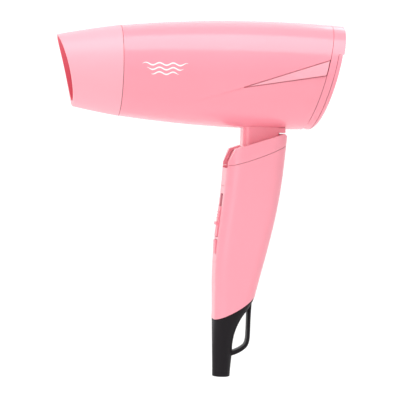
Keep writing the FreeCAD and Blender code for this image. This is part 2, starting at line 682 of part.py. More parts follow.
def collar_outline(lower, upper, back=0.0):
    """Band between the handle seam and the collar's rim, with a leaning front. lower and upper move those
    two edges up, and back moves the front to the rear."""
    return ([(COLLAR_TOE + back, -62.15 + lower), (COLLAR_FRONT + back, -61.4 + lower), (142.0, -45.3 + lower),
             (142.0, -43.6 + upper), (138.8, -41.1 + upper), (136.2, -39.5 + upper),
             (COLLAR_FRONT + 0.6 + back, -50.6 + upper)],
            {1: (SEAM_ARC, 1)})


SCREW_PLACES = ((127.0, -80.0), (117.0, -136.0))


def make_handle():
    room = hinge_room("hinge_room", D.neck_half + D.neck_clear)

    lower = prism("below_collar", [(80.0, D.shoulder_z), (80.0, -185.0), (92.0, JOINT_FRONT_Z + 0.3),
                                   (121.6, JOINT_REAR_Z + 0.3), (142.0, JOINT_REAR_Z + 0.3), (142.0, -45.6), (COLLAR_FRONT, -61.7), (COLLAR_TOE, -62.45)],
                  {2: (JOINT_ARC, 1), 5: (SEAM_ARC, -1)})
    outside = common("handle_outside", grip, lower)
    cheeks = common("handle_cheeks", lofted("cheek_form", "grip", D.grip_wall + 0.1),
                    prism("cheek_band", *collar_outline(-1.5, -1.8, 1.9)))
    inner_room = box("handle_hollow_room", 80.0, 150.0, -30.0, 30.0, -180.0, -73.0)
    hollow = common("handle_hollow", grip_inside, inner_room)
    bosses = [rod(f"handle_boss{i}", "y", -16.0, 16.0, 3.3, x, z) for i, (x, z) in enumerate(SCREW_PLACES)]
    bosses_inside = common("handle_bosses", joined("boss_rods", *bosses), lofted("boss_room", "grip", D.grip_wall - 0.6))
    shell = joined("handle_whole", cut("handle_skin", outside, hollow), cheeks, bosses_inside)

    plate_room = box("plate_room", 80.0, 106.0, -D.plate_half - 0.15, D.plate_half + 0.15,
                     D.plate_z0 - 0.15, D.plate_z1 + 0.15)
    pin_hole = rod("pin_hole", "y", -D.pin_half, D.pin_half, D.pin_r, D.pivot_x, D.pivot_z)
    click_way = box("click_way", 116.0, 122.0, -3.3, 3.3, -76.0, -68.0)
    holes = [rod(f"handle_screw_hole{i}", "y", -9.0, 30.0, 1.5, x, z) for i, (x, z) in enumerate(SCREW_PLACES)]
    seats = [rod(f"handle_screw_seat{i}", "y", 7.0, 30.0, 3.0, x, z) for i, (x, z) in enumerate(SCREW_PLACES)]
    done = cut("handle_done", shell, room, plate_room, pin_hole, click_way, joined("screw_ways", *holes, *seats))
    for side, half in halves("handle_shell", done):
        half.Label = f"handle_shell_{side}"
        finished(half)

    band = common("collar_band", grip, prism("collar_prism", *collar_outline(0.0, 0.0)))
    core = common("collar_core", grip_inside, prism("collar_core_prism", *collar_outline(-2.0, -1.5, 1.6)))
    finished(cut("hinge_collar", band, core, room))

    finished(rod("hinge_pin", "y", -D.pin_half, D.pin_half, D.pin_r, D.pivot_x, D.pivot_z))
    leaf = box("click_leaf", 112.0, 127.0, -2.8, 2.8, -74.4, -73.6)
    nib = box("click_nib", 117.0, 121.0, -2.8, 2.8, -74.0, D.pivot_z - 15.6)
    finished(joined("click_spring", leaf, nib))

    screws = []
    for number, (x, z) in enumerate(SCREW_PLACES):
        screws.append(rod(f"handle_screw_head{number}", "y", 7.0, 9.2, 2.7, x, z))
        screws.append(rod(f"handle_screw_shank{number}", "y", -8.5, 7.5, 1.5, x, z))
    finished(joined("handle_screws", *screws))


make_handle()


# ---------------------------------------------------------------- switches
def front_at(z):
    """X of the handle's front edge at a level, between the sections above and below it."""
    for (z1, x1, *_), (z0, x0, *_) in zip(GRIP, GRIP[1:]):
        if z0 <= z <= z1:
            return x0 + (x1 - x0) * (z - z0) / (z1 - z0)
    raise ValueError(z)


def make_switches():
    skin = cut("plate_skin", grip, grip_inside)
    band = box("plate_band", 80.0, 105.0, -D.plate_half, D.plate_half, D.plate_z0, D.plate_z1)
    gap = D.control_gap
    track = box("slider_track", 80.0, 106.0, -D.slider_half - gap, D.slider_half + gap,
                D.slider_z0 - gap * 1.5, D.track_z1)
    way = box("button_way", 80.0, 106.0, -D.button_half - gap, D.button_half + gap,
              D.button_z0 - gap, D.button_z1 + gap)
    finished(cut("switch_plate", common("plate_blank", skin, band), track, way))

    # The slider and its contact lie along the front edge, which leans by slider_lean degrees.
    middle = (SIZES["slider_z0"] + SIZES["slider_z1"]) / 2
    lean = FreeCAD.Rotation(V(0, 1, 0), SIZES["slider_lean"])
    seat = FreeCAD.Placement(V(front_at(middle), 0, middle), lean)
    half = SIZES["slider_half"]
    length = SIZES["slider_z1"] - SIZES["slider_z0"]

    def on_front(name, x0, x1, wide, z0, z1):
        block = free_box(name, x0, x1, -wide, wide, z0, z1)
        block.Placement = seat.multiply(block.Placement)
        return block

    knob = on_front("slider_knob", -0.7, 3.2, half, -length / 2 + 0.2, length / 2 - 0.2)
    ridge = on_front("slider_ridge", -2.1, 0.0, half, -2.6, -0.6)
    ribs = [on_front(f"slider_rib{i}", -1.1, 0.0, half - 0.6, z, z + 0.8) for i, z in enumerate((1.6, 3.8, 6.0))]
    foot = on_front("slider_foot", 3.0, 4.3, half + 1.3, -length / 2 + 1.0, length / 2 - 1.0)
    finished(joined("power_slider", knob, ridge, foot, *ribs))
    finished(on_front("slider_contact", 4.3, 5.1, 2.6, -6.0, 6.0))
    finished(on_front("power_switch", 5.5, 13.0, 7.0, -9.5, 18.0))

    front = front_at((SIZES["button_z0"] + SIZES["button_z1"]) / 2)
    cap = box("button_cap", front - 0.9, front + 4.0, -D.button_half, D.button_half, D.button_z0, D.button_z1)
    flange = box("button_flange", front + 4.0, front + 5.0, -D.button_half - 1.0, D.button_half + 1.0,
                 D.button_z0 - 0.8, D.button_z1 + 0.4)
    finished(joined("cool_button", cap, flange))
    finished(box("cool_switch", front + 7.2, front + 13.5, -5.0, 5.0, D.button_z0 - 1.0, D.button_z1 - 0.5))
    finished(box("noise_capacitor", 114.5, 123.0, -6.5, 6.5, -114.0, -97.0))


make_switches()


# ---------------------------------------------------------------- cord clamp and cord guard
def make_cord_end():
    top = D.guard_bottom + D.bore_length
    body = lofted("guard_form", "guard", 0.0, ruled=True)
    under = prism("below_joint", [(80.0, JOINT_FRONT_Z), (80.0, -230.0), (150.0, -230.0), (150.0, JOINT_REAR_Z),
                                  (121.6, JOINT_REAR_Z), (92.0, JOINT_FRONT_Z)], {4: (JOINT_ARC, -1)})
    plug = box("guard_plug", 97.5, 111.0, -7.6, 7.6, -172.0, -154.0)
    outer = [(119.4, -153.0), (115.8, -160.2), (116.4, -170.0), (116.4, -180.0), (110.6, -186.9), (104.0, -188.6),
             (104.0, -191.9), (110.9, -189.5), (118.6, -180.0), (118.8, -170.0)]
    strap = prism("guard_strap", outer, {3: (8.0, -1), 7: (10.5, 1)}, half=D.strap_half)
    solid = joined("guard_solid", common("guard_lower", joined("guard_parts", body, strap), under), plug)
    bore = rod("cord_bore", "z", D.guard_bottom - 1, top, D.cord_r, D.guard_x, 0.0)
    chamber = rod("cord_chamber", "z", top, -140.0, D.cord_r + 1.0, D.guard_x, 0.0)
    finished(cut("cord_guard", solid, bore, chamber))

    bar = box("clamp_bar", 96.5, 113.0, 1.0, 5.0, -148.0, -142.0)
    finished(cut("cord_clamp", bar, rod("clamp_groove", "z", -150.0, -140.0, D.cord_r, D.guard_x + 3.4, 0.0)))
    screws = []
    for number, x in enumerate((98.0, 110.5)):
        screws.append(rod(f"clamp_screw_head{number}", "y", 5.0, 6.6, 2.0, x, -145.0))
    finished(joined("clamp_screws", *screws))


make_cord_end()

# ---------------------------------------------------------------- checks and output
doc.recompute()
for obj in doc.Objects:
    if "Invalid" in obj.State or "Error" in obj.State:
        raise RuntimeError(f"{obj.Label} failed: {obj.State}")
os.makedirs("parts", exist_ok=True)
for node in nodes:
    shape = node.Shape
    if shape.isNull() or not shape.isValid() or not shape.Solids:
        raise RuntimeError(f"{node.Label} has no valid solid")
    shape.exportStep(f"parts/{node.Label}.step")
    bounds = shape.BoundBox
    print(f"{node.Label:22s} solids {len(shape.Solids)} volume {shape.Volume:10.1f}"
          f"  x {bounds.XMin:7.1f} {bounds.XMax:7.1f}  y {bounds.YMin:6.1f} {bounds.YMax:6.1f}"
          f"  z {bounds.ZMin:7.1f} {bounds.ZMax:7.1f}")
print(len(nodes), "pieces")
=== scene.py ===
import math

import bmesh
import bpy
from mathutils import Matrix, Vector


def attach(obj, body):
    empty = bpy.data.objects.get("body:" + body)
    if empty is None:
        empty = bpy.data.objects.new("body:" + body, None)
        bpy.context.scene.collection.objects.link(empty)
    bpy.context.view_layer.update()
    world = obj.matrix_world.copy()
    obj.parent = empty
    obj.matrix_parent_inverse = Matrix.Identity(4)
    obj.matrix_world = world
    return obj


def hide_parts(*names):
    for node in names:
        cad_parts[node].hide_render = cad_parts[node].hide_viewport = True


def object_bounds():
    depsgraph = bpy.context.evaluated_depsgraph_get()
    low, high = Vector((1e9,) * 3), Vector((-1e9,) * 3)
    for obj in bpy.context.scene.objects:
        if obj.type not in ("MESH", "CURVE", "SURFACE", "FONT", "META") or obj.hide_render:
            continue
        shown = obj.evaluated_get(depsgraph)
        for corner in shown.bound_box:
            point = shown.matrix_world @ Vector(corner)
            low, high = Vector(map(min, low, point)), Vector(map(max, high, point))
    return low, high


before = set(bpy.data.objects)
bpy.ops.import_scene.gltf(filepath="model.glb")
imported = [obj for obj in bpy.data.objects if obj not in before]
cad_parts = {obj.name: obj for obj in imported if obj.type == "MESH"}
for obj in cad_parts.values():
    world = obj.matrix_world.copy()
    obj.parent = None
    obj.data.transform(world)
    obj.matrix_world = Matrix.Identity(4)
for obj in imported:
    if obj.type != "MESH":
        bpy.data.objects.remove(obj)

# Folding hair dryer: materials for the CAD pieces, the printed mark, the dust screen's wires,
# the rubber cord guard and the studio around them. Metres, in the CAD model's frame:
# -X is the way the air blows, +Z up, Y across.

cad_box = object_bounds()
MM = 0.001


# ---------------------------------------------------------------- material helpers
FLOW_SCALE, GLOSS_SCALE = 14.0, 55.0       # flow marks and gloss patches, in features per metre


def new_material(name):
    material = bpy.data.materials.new(name)
    material.use_nodes = True
    nodes = material.node_tree.nodes
    return material, nodes, material.node_tree.links, nodes["Principled BSDF"]


def noise(nodes, links, scale, detail=2.0, stretch=None):
    """Noise in object space; the CAD frame is in metres, so scale counts features per metre."""
    coords = nodes.new("ShaderNodeTexCoord")
    texture = nodes.new("ShaderNodeTexNoise")
    texture.inputs["Scale"].default_value = scale
    texture.inputs["Detail"].default_value = detail
    if stretch:
        mapping = nodes.new("ShaderNodeMapping")
        mapping.inputs["Scale"].default_value = stretch
        links.new(coords.outputs["Object"], mapping.inputs["Vector"])
        links.new(mapping.outputs["Vector"], texture.inputs["Vector"])
    else:
        links.new(coords.outputs["Object"], texture.inputs["Vector"])
    return texture.outputs["Fac"]


def spread(nodes, links, value, low, high):
    """Maps a 0 to 1 value to low to high."""
    ramp = nodes.new("ShaderNodeMapRange")
    ramp.inputs["To Min"].default_value = low
    ramp.inputs["To Max"].default_value = high
    links.new(value, ramp.inputs["Value"])
    return ramp.outputs["Result"]


def tint(nodes, links, value, first, second):
    mix = nodes.new("ShaderNodeMix")
    mix.data_type = "RGBA"
    mix.inputs["A"].default_value = (*first, 1.0)
    mix.inputs["B"].default_value = (*second, 1.0)
    links.new(value, mix.inputs["Factor"])
    return mix.outputs["Result"]


def bump(nodes, links, height, strength, distance, normal=None):
    node = nodes.new("ShaderNodeBump")
    node.inputs["Strength"].default_value = strength
    node.inputs["Distance"].default_value = distance
    links.new(height, node.inputs["Height"])
    if normal is not None:
        links.new(normal, node.inputs["Normal"])
    return node.outputs["Normal"]


def plastic(name, colour, rough=(0.2, 0.3), grain=2500.0, depth=0.00002, strength=0.1, coat=0.0,
            shade=0.94, soft=0.0, shine=0.4):
    """Moulded plastic: slight flow marks in its colour, uneven gloss, and a fine surface grain.
    shade darkens the flow marks, soft is the share of light that passes under the surface."""
    material, nodes, links, shader = new_material(name)
    darker = tuple(channel * shade for channel in colour)
    flow = noise(nodes, links, FLOW_SCALE, 3.0, stretch=(1.0, 1.0, 0.4))
    links.new(tint(nodes, links, flow, darker, colour), shader.inputs["Base Color"])
    links.new(spread(nodes, links, noise(nodes, links, GLOSS_SCALE, 4.0), *rough), shader.inputs["Roughness"])
    links.new(bump(nodes, links, noise(nodes, links, grain, 2.0), strength, depth), shader.inputs["Normal"])
    shader.inputs["Coat Weight"].default_value = coat
    shader.inputs["Coat Roughness"].default_value = 0.06
    shader.inputs["Specular IOR Level"].default_value = shine
    shader.inputs["Subsurface Weight"].default_value = soft
    shader.inputs["Subsurface Radius"].default_value = (0.004, 0.0015, 0.0015)
    shader.inputs["Subsurface Scale"].default_value = 1.0
    return material


def metal(name, colour, rough=(0.25, 0.45), stretch=(1.0, 1.0, 1.0), scale=900.0):
    """Brushed or drawn metal with faint scratches along one direction."""
    material, nodes, links, shader = new_material(name)
    shader.inputs["Metallic"].default_value = 1.0
    marks = noise(nodes, links, scale, 3.0, stretch=stretch)
    darker = tuple(channel * 0.8 for channel in colour)
    links.new(tint(nodes, links, marks, darker, colour), shader.inputs["Base Color"])
    links.new(spread(nodes, links, marks, *rough), shader.inputs["Roughness"])
    links.new(bump(nodes, links, marks, 0.15, 0.00003), shader.inputs["Normal"])
    return material


PINK = (0.98, 0.330, 0.405)
LIGHT_PINK = (0.99, 0.420, 0.490)
HANDLE_PINK = (0.985, 0.355, 0.43)
CONTROL_PINK = (0.97, 0.31, 0.385)
# Painted shade: the darker, deeper pink inside the nozzle's mouth stands in for the shade in its hollow.
MOUTH_PAINTED_SHADE = (1.0, 0.14, 0.20)
gloss_pink = plastic("gloss_pink_abs", PINK, rough=(0.20, 0.27), coat=0.35, strength=0.05, soft=0.05)
# The side trims' lighter pink is partly their own lighter plastic and partly painted light for their
# upward-tilted faces.
trim_pink = plastic("trim_pink_abs", LIGHT_PINK, rough=(0.22, 0.30), coat=0.25, strength=0.05, soft=0.05)
handle_pink = plastic("handle_pink_abs", HANDLE_PINK, rough=(0.26, 0.34), coat=0.18, strength=0.08, soft=0.05)
control_pink = plastic("control_pink_abs", CONTROL_PINK, rough=(0.36, 0.46), grain=3200.0, strength=0.2)
black_plastic = plastic("black_nylon", (0.012, 0.011, 0.012), rough=(0.42, 0.6), grain=3000.0, strength=0.3,
                        depth=0.00004)
black_rubber = plastic("black_rubber", (0.009, 0.006, 0.009), rough=(0.42, 0.58), grain=4200.0, strength=0.35,
                       depth=0.00004, shade=0.7, shine=0.2)
mica = plastic("mica_sheet", (0.55, 0.42, 0.26), rough=(0.35, 0.6), grain=500.0, strength=0.5, depth=0.0001,
               shade=0.7)
steel = metal("zinc_steel", (0.62, 0.62, 0.63))
wire = metal("screen_wire", (0.30, 0.30, 0.31), rough=(0.3, 0.5))
bronze = metal("bronze", (0.66, 0.43, 0.20))


def print_ink():
    """White pad-printed ink: slightly uneven cover over the gloss."""
    material, nodes, links, shader = new_material("white_ink")
    patchy = noise(nodes, links, 1800.0, 3.0)
    links.new(tint(nodes, links, patchy, (0.88, 0.86, 0.87), (0.96, 0.95, 0.95)), shader.inputs["Base Color"])
    links.new(spread(nodes, links, patchy, 0.3, 0.45), shader.inputs["Roughness"])
    return material


MOUTH_WALL_R = 21.5 * MM                   # just outside the mouth's inner wall


def nozzle_finish():
    """Satin outside; the deeper, warmer pink inside the mouth is painted shade for the hollow there."""
    material, nodes, links, shader = new_material("nozzle_painted_mouth_shade")
    coords = nodes.new("ShaderNodeTexCoord")
    split = nodes.new("ShaderNodeSeparateXYZ")
    links.new(coords.outputs["Object"], split.inputs["Vector"])
    radius_squared = nodes.new("ShaderNodeMath")
    radius_squared.operation = "MULTIPLY"
    links.new(split.outputs["Y"], radius_squared.inputs[0])
    links.new(split.outputs["Y"], radius_squared.inputs[1])
    height_squared = nodes.new("ShaderNodeMath")
    height_squared.operation = "MULTIPLY_ADD"
    links.new(split.outputs["Z"], height_squared.inputs[0])
    links.new(split.outputs["Z"], height_squared.inputs[1])
    links.new(radius_squared.outputs[0], height_squared.inputs[2])
    radius = nodes.new("ShaderNodeMath")
    radius.operation = "SQRT"
    links.new(height_squared.outputs[0], radius.inputs[0])
    inside = nodes.new("ShaderNodeMapRange")
    inside.inputs["From Min"].default_value = MOUTH_WALL_R - 0.1 * MM
    inside.inputs["From Max"].default_value = MOUTH_WALL_R + 0.1 * MM
    links.new(radius.outputs[0], inside.inputs["Value"])
    flow = noise(nodes, links, FLOW_SCALE, 3.0)
    outer = tint(nodes, links, flow, (0.95, 0.385, 0.455), LIGHT_PINK)
    mix = nodes.new("ShaderNodeMix")
    mix.data_type = "RGBA"
    # Painted shade: inside the mouth's inner wall the colour switches to the darker pink.
    mix.inputs["A"].default_value = (*MOUTH_PAINTED_SHADE, 1.0)
    links.new(inside.outputs["Result"], mix.inputs["Factor"])
    links.new(outer, mix.inputs["B"])
    links.new(mix.outputs["Result"], shader.inputs["Base Color"])
    links.new(spread(nodes, links, noise(nodes, links, 60.0, 4.0), 0.34, 0.44), shader.inputs["Roughness"])
    links.new(bump(nodes, links, noise(nodes, links, 3800.0, 2.0), 0.2, 0.00003), shader.inputs["Normal"])
    return material


white_ink = print_ink()
nozzle_mouth_shaded = nozzle_finish()

# Every CAD node that isn't listed is black plastic.
NODES_OF = (
    (nozzle_mouth_shaded, ("front_nozzle",)),
    (gloss_pink, ("rear_cap", "inlet_grille", "barrel_shell_left", "barrel_shell_right", "hinge_neck")),
    (trim_pink, ("side_trim_left", "side_trim_right")),
    (handle_pink, ("handle_shell_left", "handle_shell_right", "hinge_collar", "switch_plate")),
    (control_pink, ("power_slider", "cool_button")),
    (black_rubber, ("cord_guard",)),
    (mica, ("heat_shield", "mica_boards")),
    (bronze, ("motor_bushes", "slider_contact")),
    (wire, ("inlet_mesh",)),
    (steel, ("barrel_screw", "heating_coil", "thermal_fuse", "motor_can", "motor_end_bell", "motor_shaft",
             "armature", "hinge_pin", "click_spring", "handle_screws", "clamp_screws")),
)
finish_of = {node_name: material for material, names in NODES_OF for node_name in names}
for node_name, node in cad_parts.items():
    node.data.materials.clear()
    node.data.materials.append(finish_of.get(node_name, black_plastic))


# ---------------------------------------------------------------- mesh helpers
def new_piece(name, vertices, faces, material, body, smooth=True):
    mesh = bpy.data.meshes.new(name)
    mesh.from_pydata([tuple(v) for v in vertices], [], faces)
    mesh.materials.append(material)
    if smooth:
        mesh.shade_smooth()
    piece = bpy.data.objects.new(name, mesh)
    bpy.context.scene.collection.objects.link(piece)
    fix = bmesh.new()
    fix.from_mesh(mesh)
    bmesh.ops.recalc_face_normals(fix, faces=fix.faces)
    fix.to_mesh(mesh)
    fix.free()
    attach(piece, body)
    return piece


def through(before, start, end, after, share):
    """Point at this share of the way from start to end, on a smooth curve that also passes the points
    before and after them."""
    return 0.5 * (2 * start + (end - before) * share + (2 * before - 5 * start + 4 * end - after) * share ** 2
                  + (3 * start - before - 3 * end + after) * share ** 3)


def bridge(faces, first, second, count):
    """Adds the faces between two closed rings of count vertices, which start at these numbers."""
    for k in range(count):
        n = (k + 1) % count
        faces.append((first + k, first + n, second + n, second + k))


BARREL_ARC, CROWN_X, CROWN_R = 850.0 * MM, 125.7 * MM, 36.6 * MM


def barrel_radius(x):
    """The barrel's outside radius at x, one long arc."""
    return CROWN_R - BARREL_ARC + math.sqrt(BARREL_ARC ** 2 - (x - CROWN_X) ** 2)


# ---------------------------------------------------------------- printed mark
MARK_START, MARK_LENGTH = 36.0 * MM, 30.0 * MM
WAVES = ((0.0, 4.2 * MM), (3.0 * MM, 1.2 * MM), (6.0 * MM, -1.8 * MM))    # inset of each end, level
WAVE_HEIGHT, WAVE_PERIOD, STROKE = 0.8 * MM, 9.0 * MM, 0.5 * MM
INK_THICK = 0.04 * MM


def make_mark():
    """Three waves of air, a generic sign, printed on the barrel's left side."""
    vertices, faces = [], []
    steps = 48
    for lead, level in WAVES:
        run = MARK_LENGTH - 2 * lead
        first = len(vertices)
        for step in range(steps + 1):
            along = step / steps
            x = MARK_START + lead + run * along
            z = level + WAVE_HEIGHT * math.sin((x - MARK_START) / WAVE_PERIOD * 2 * math.pi)
            taper = STROKE * min(1.0, 6 * along + 0.15, 6 * (1 - along) + 0.15)
            for height in (z - taper, z + taper):
                reach = barrel_radius(x) + INK_THICK
                vertices.append(Vector((x, -math.sqrt(reach ** 2 - height ** 2), height)))
        for step in range(steps):
            low = first + 2 * step
            faces.append((low, low + 1, low + 3, low + 2))
    return new_piece("airflow_mark", vertices, faces, white_ink, "head")


make_mark()


# ---------------------------------------------------------------- barrel skins
REAR_SEAM_X, REAR_SLOPE = 159.0 * MM, math.tan(math.radians(14.0))
SKIN_START_X, SKIN_THICK, HALF_SEAM = 24.15 * MM, 1.1 * MM, 0.05 * MM
WEDGE_TIP = (102.3 * MM, -9.85 * MM)       # the trim's recess, with its gap round the trim
WEDGE_TOP_SLOPE, WEDGE_LOW_SLOPE = 0.341, 0.174
WEDGE_DEPTH, WEDGE_DRAFT = 1.35 * MM, 0.05 * MM
WEDGE_START_X = WEDGE_TIP[0] + 2 * MM      # where the recess is at its full depth
CREASE_START_X, CREASE_DEPTH, CREASE_HALF = 66.0 * MM, 0.22 * MM, 0.25 * MM


def wedge_lines(x):
    """Heights of the recess's two edges at x; ahead of its tip they are the two sides of the crease."""
    ahead = max(x, CREASE_START_X) - WEDGE_TIP[0]
    top = WEDGE_TIP[1] + WEDGE_TOP_SLOPE * ahead
    low = WEDGE_TIP[1] + WEDGE_LOW_SLOPE * ahead if ahead >= 0 else top
    return top + CREASE_HALF, low - CREASE_HALF


def crease_depth(x):
    """How deep the groove is at x: the recess behind its tip, and ahead of it a crease that fades out."""
    if x >= WEDGE_START_X:
        return WEDGE_DEPTH
    along = (x - CREASE_START_X) / (WEDGE_START_X - CREASE_START_X)
    return CREASE_DEPTH * max(0.0, along) ** 1.5


def skin_point(share, side, height_of, inset=0.0):
    """Point on the barrel at this share of the way from the nozzle's seam to the slanted rear seam.
    height_of gives its height from x and the barrel's radius there."""
    x = SKIN_START_X + share * (REAR_SEAM_X - SKIN_START_X)
    for _ in range(4):
        height = height_of(x, barrel_radius(x) - inset)
        x = SKIN_START_X + share * (REAR_SEAM_X + REAR_SLOPE * height - SKIN_START_X)
    radius = barrel_radius(x) - inset
    height = height_of(x, radius)
    across = max(math.sqrt(max(radius ** 2 - height ** 2, 0.0)), HALF_SEAM)
    return Vector((x, side * across, height))


def make_skin(name, side):
    """Half of the barrel: a grid from the crown to the belly that follows the wedge and the crease."""
    columns, rows_above, rows_below = 150, 34, 34
    crown, belly = math.pi / 2, -math.pi / 2
    vertices, faces = [], []
    for column in range(columns + 1):
        share = column / columns

        def turned(turn):
            """Point at a turn from the belly (-90 degrees) to the crown (+90)."""
            return skin_point(share, side, lambda x, radius: radius * math.sin(turn))

        top_edge = skin_point(share, side, lambda x, radius: wedge_lines(x)[0])
        low_edge = skin_point(share, side, lambda x, radius: wedge_lines(x)[1])
        top_turn = math.atan2(top_edge.z, abs(top_edge.y))
        low_turn = math.atan2(low_edge.z, abs(low_edge.y))
        depth = crease_depth(top_edge.x)
        strip = [turned(crown + (top_turn - crown) * (row / rows_above) ** 0.8) for row in range(rows_above)]
        strip.append(top_edge)
        strip.append(skin_point(share, side, lambda x, radius: wedge_lines(x)[0] - WEDGE_DRAFT, depth))
        strip.append(skin_point(share, side, lambda x, radius: wedge_lines(x)[1] + WEDGE_DRAFT, depth))
        strip.append(low_edge)
        for row in range(1, rows_below + 1):
            strip.append(turned(low_turn + (belly - low_turn) * (row / rows_below) ** 1.2))
        vertices.extend(strip)
    rows = len(vertices) // (columns + 1)
    for column in range(columns):
        for row in range(rows - 1):
            a = column * rows + row
            faces.append((a, a + 1, a + rows + 1, a + rows))
    piece = new_piece(name, vertices, faces, gloss_pink, "head")
    thick = piece.modifiers.new("wall", "SOLIDIFY")
    thick.thickness = SKIN_THICK
    thick.offset = -1.0
    edge = piece.modifiers.new("edge", "BEVEL")
    edge.width = 0.22 * MM
    edge.segments = 2
    edge.limit_method = "ANGLE"
    edge.angle_limit = math.radians(40)
    edge.harden_normals = True
    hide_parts(name.replace("skin", "shell"))
    return piece


make_skin("barrel_skin_left", -1)
make_skin("barrel_skin_right", 1)


# ---------------------------------------------------------------- dust screen
def make_screen():
    """Woven wires behind the inlet grille, square to the slanted rear face."""
    face_x, behind, tilt = 168.0 * MM, 4.9 * MM, math.radians(14.0)
    centre_x = face_x - behind / math.cos(tilt)
    turn = Matrix.Rotation(tilt, 4, "Y")
    reach, pitch, thick = 32.0 * MM, 1.5 * MM, 0.16 * MM
    vertices, faces = [], []
    count = int(reach / pitch)
    for direction in (0, 1):
        for number in range(-count, count + 1):
            offset = number * pitch
            half = math.sqrt(reach ** 2 - offset ** 2)
            first = len(vertices)
            for along in (-half, half):
                for a, b in ((-thick, -thick), (thick, -thick), (thick, thick), (-thick, thick)):
                    depth = a + (0.3 * thick if direction else -0.3 * thick)
                    point = (depth, along, offset + b) if direction else (depth, offset + b, along)
                    vertices.append(Vector((centre_x, 0, 0)) + turn @ Vector(point))
            bridge(faces, first, first + 4, 4)
            faces.append(tuple(first + k for k in range(4)))
            faces.append(tuple(first + 7 - k for k in range(4)))
    screen = new_piece("dust_screen", vertices, faces, wire, "head", smooth=False)
    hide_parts("inlet_mesh")


make_screen()


# ---------------------------------------------------------------- rubber cord guard
# level, front, rear, half width, corner share: how square the section is, 0 round to 1 square
GUARD_SECTIONS = (
    (-150.0, 92.6, 121.0, 13.8, 0.40), (-158.0, 92.7, 117.6, 12.9, 0.38), (-165.0, 92.75, 112.8, 11.6, 0.33),
    (-171.0, 92.85, 109.9, 10.2, 0.26), (-177.0, 92.95, 108.0, 8.9, 0.18), (-184.0, 93.1, 107.0, 7.6, 0.08),
    (-191.6, 93.3, 106.8, 6.75, 0.0), (-199.0, 93.6, 106.2, 6.3, 0.0), (-206.2, 93.8, 105.8, 6.0, 0.0),
)
GUARD_AXIS_X, GUARD_BOTTOM = 99.8, -206.2
CORD_RADIUS, BORE_TOP = 3.5, -176.0
JOINT_FRONT, JOINT_REAR, JOINT_SAG = (92.0, -167.45), (121.6, -149.65), 9.5
STRAP_PATH = (          # x, level, half thickness
    (118.0, -153.5, 1.25), (117.75, -160.0, 1.1), (117.6, -168.0, 1.05), (117.55, -175.0, 1.05),
    (117.3, -180.5, 1.05), (116.0, -184.6, 1.1), (112.8, -187.4, 1.25), (108.8, -189.4, 1.4),
    (103.5, -191.0, 1.5),
)
STRAP_HALF, STRAP_ROUND = 4.2, 0.7


def smooth_table(table, level):
    """Values of the table at a level, by a curve through its rows."""
    last = len(table) - 1
    for row in range(last):
        high, low = table[row][0], table[row + 1][0]
        if low <= level <= high or row == last - 1:
            share = max(0.0, min(1.0, (high - level) / (high - low)))
            before, after = table[max(row - 1, 0)], table[min(row + 2, last)]
            columns = zip(before, table[row], table[row + 1], after)
            return [through(*column, share) for column in columns][1:]
    return table[-1][1:]


def joint_level(x):
    """Height of the slanted joint between guard and handle at x: level in front, rising to the rear."""
    share = max(0.0, min(1.0, (x - JOINT_FRONT[0]) / (JOINT_REAR[0] - JOINT_FRONT[0])))
    rise = JOINT_REAR[1] - JOINT_FRONT[1]
    return JOINT_FRONT[1] + rise * share - JOINT_SAG * share * (1 - share)


def guard_point(level, angle):
    """Point of the guard's outside at a level: a section between an ellipse and a rounded box."""
    front, rear, half, square = smooth_table(GUARD_SECTIONS, level)
    power = 2.0 / (2.0 + 3.2 * max(square, 0.0))
    c, s = math.cos(angle), math.sin(angle)
    x = (front + rear) / 2 + (rear - front) / 2 * math.copysign(abs(c) ** power, c)
    return x, half * math.copysign(abs(s) ** power, s)


def make_guard():
    """The tapered tube, from the slanted joint down to the bore's rounded rim."""
    around, down = 64, 54
    turns = [2 * math.pi * k / around for k in range(around)]
    last_level = GUARD_BOTTOM + 0.4
    rings = []
    for ring in range(down + 1):
        share = ring / down
        loop = []
        for angle in turns:
            level = -160.0
            for _ in range(5):
                x, y = guard_point(max(level, GUARD_BOTTOM), angle)
                top = joint_level(x)
                level = top + (last_level - top) * share
            loop.append(Vector((x, y, level)) * MM)
        rings.append(loop)
    # Above the joint, a narrower collar goes up inside the handle.
    centre = Vector((106.0, 0.0, 0.0)) * MM
    shoulder = []
    for point in rings[0]:
        inner = centre + (point - centre) * 0.86
        inner.z = point.z + 0.05 * MM
        shoulder.append(inner)
    collar = [centre + (point - centre) * 0.9 for point in shoulder]
    rings.insert(0, shoulder)
    rings.insert(0, [Vector((point.x, point.y, -150.5 * MM)) for point in collar])
    for radius, level in ((5.6, GUARD_BOTTOM), (4.0, GUARD_BOTTOM), (CORD_RADIUS, GUARD_BOTTOM + 0.5),
                          (CORD_RADIUS, BORE_TOP)):
        rings.append([Vector((GUARD_AXIS_X + radius * math.cos(angle), radius * math.sin(angle), level)) * MM
                      for angle in turns])
    vertices = [point for loop in rings for point in loop]
    last = (len(rings) - 1) * around
    faces = []
    for first in range(0, last, around):
        bridge(faces, first, first + around, around)
    faces.append(tuple(range(around)))
    faces.append(tuple(last + k for k in reversed(range(around))))
    guard = new_piece("cord_guard_rubber", vertices, faces, black_rubber, "handle")
    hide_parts("cord_guard")


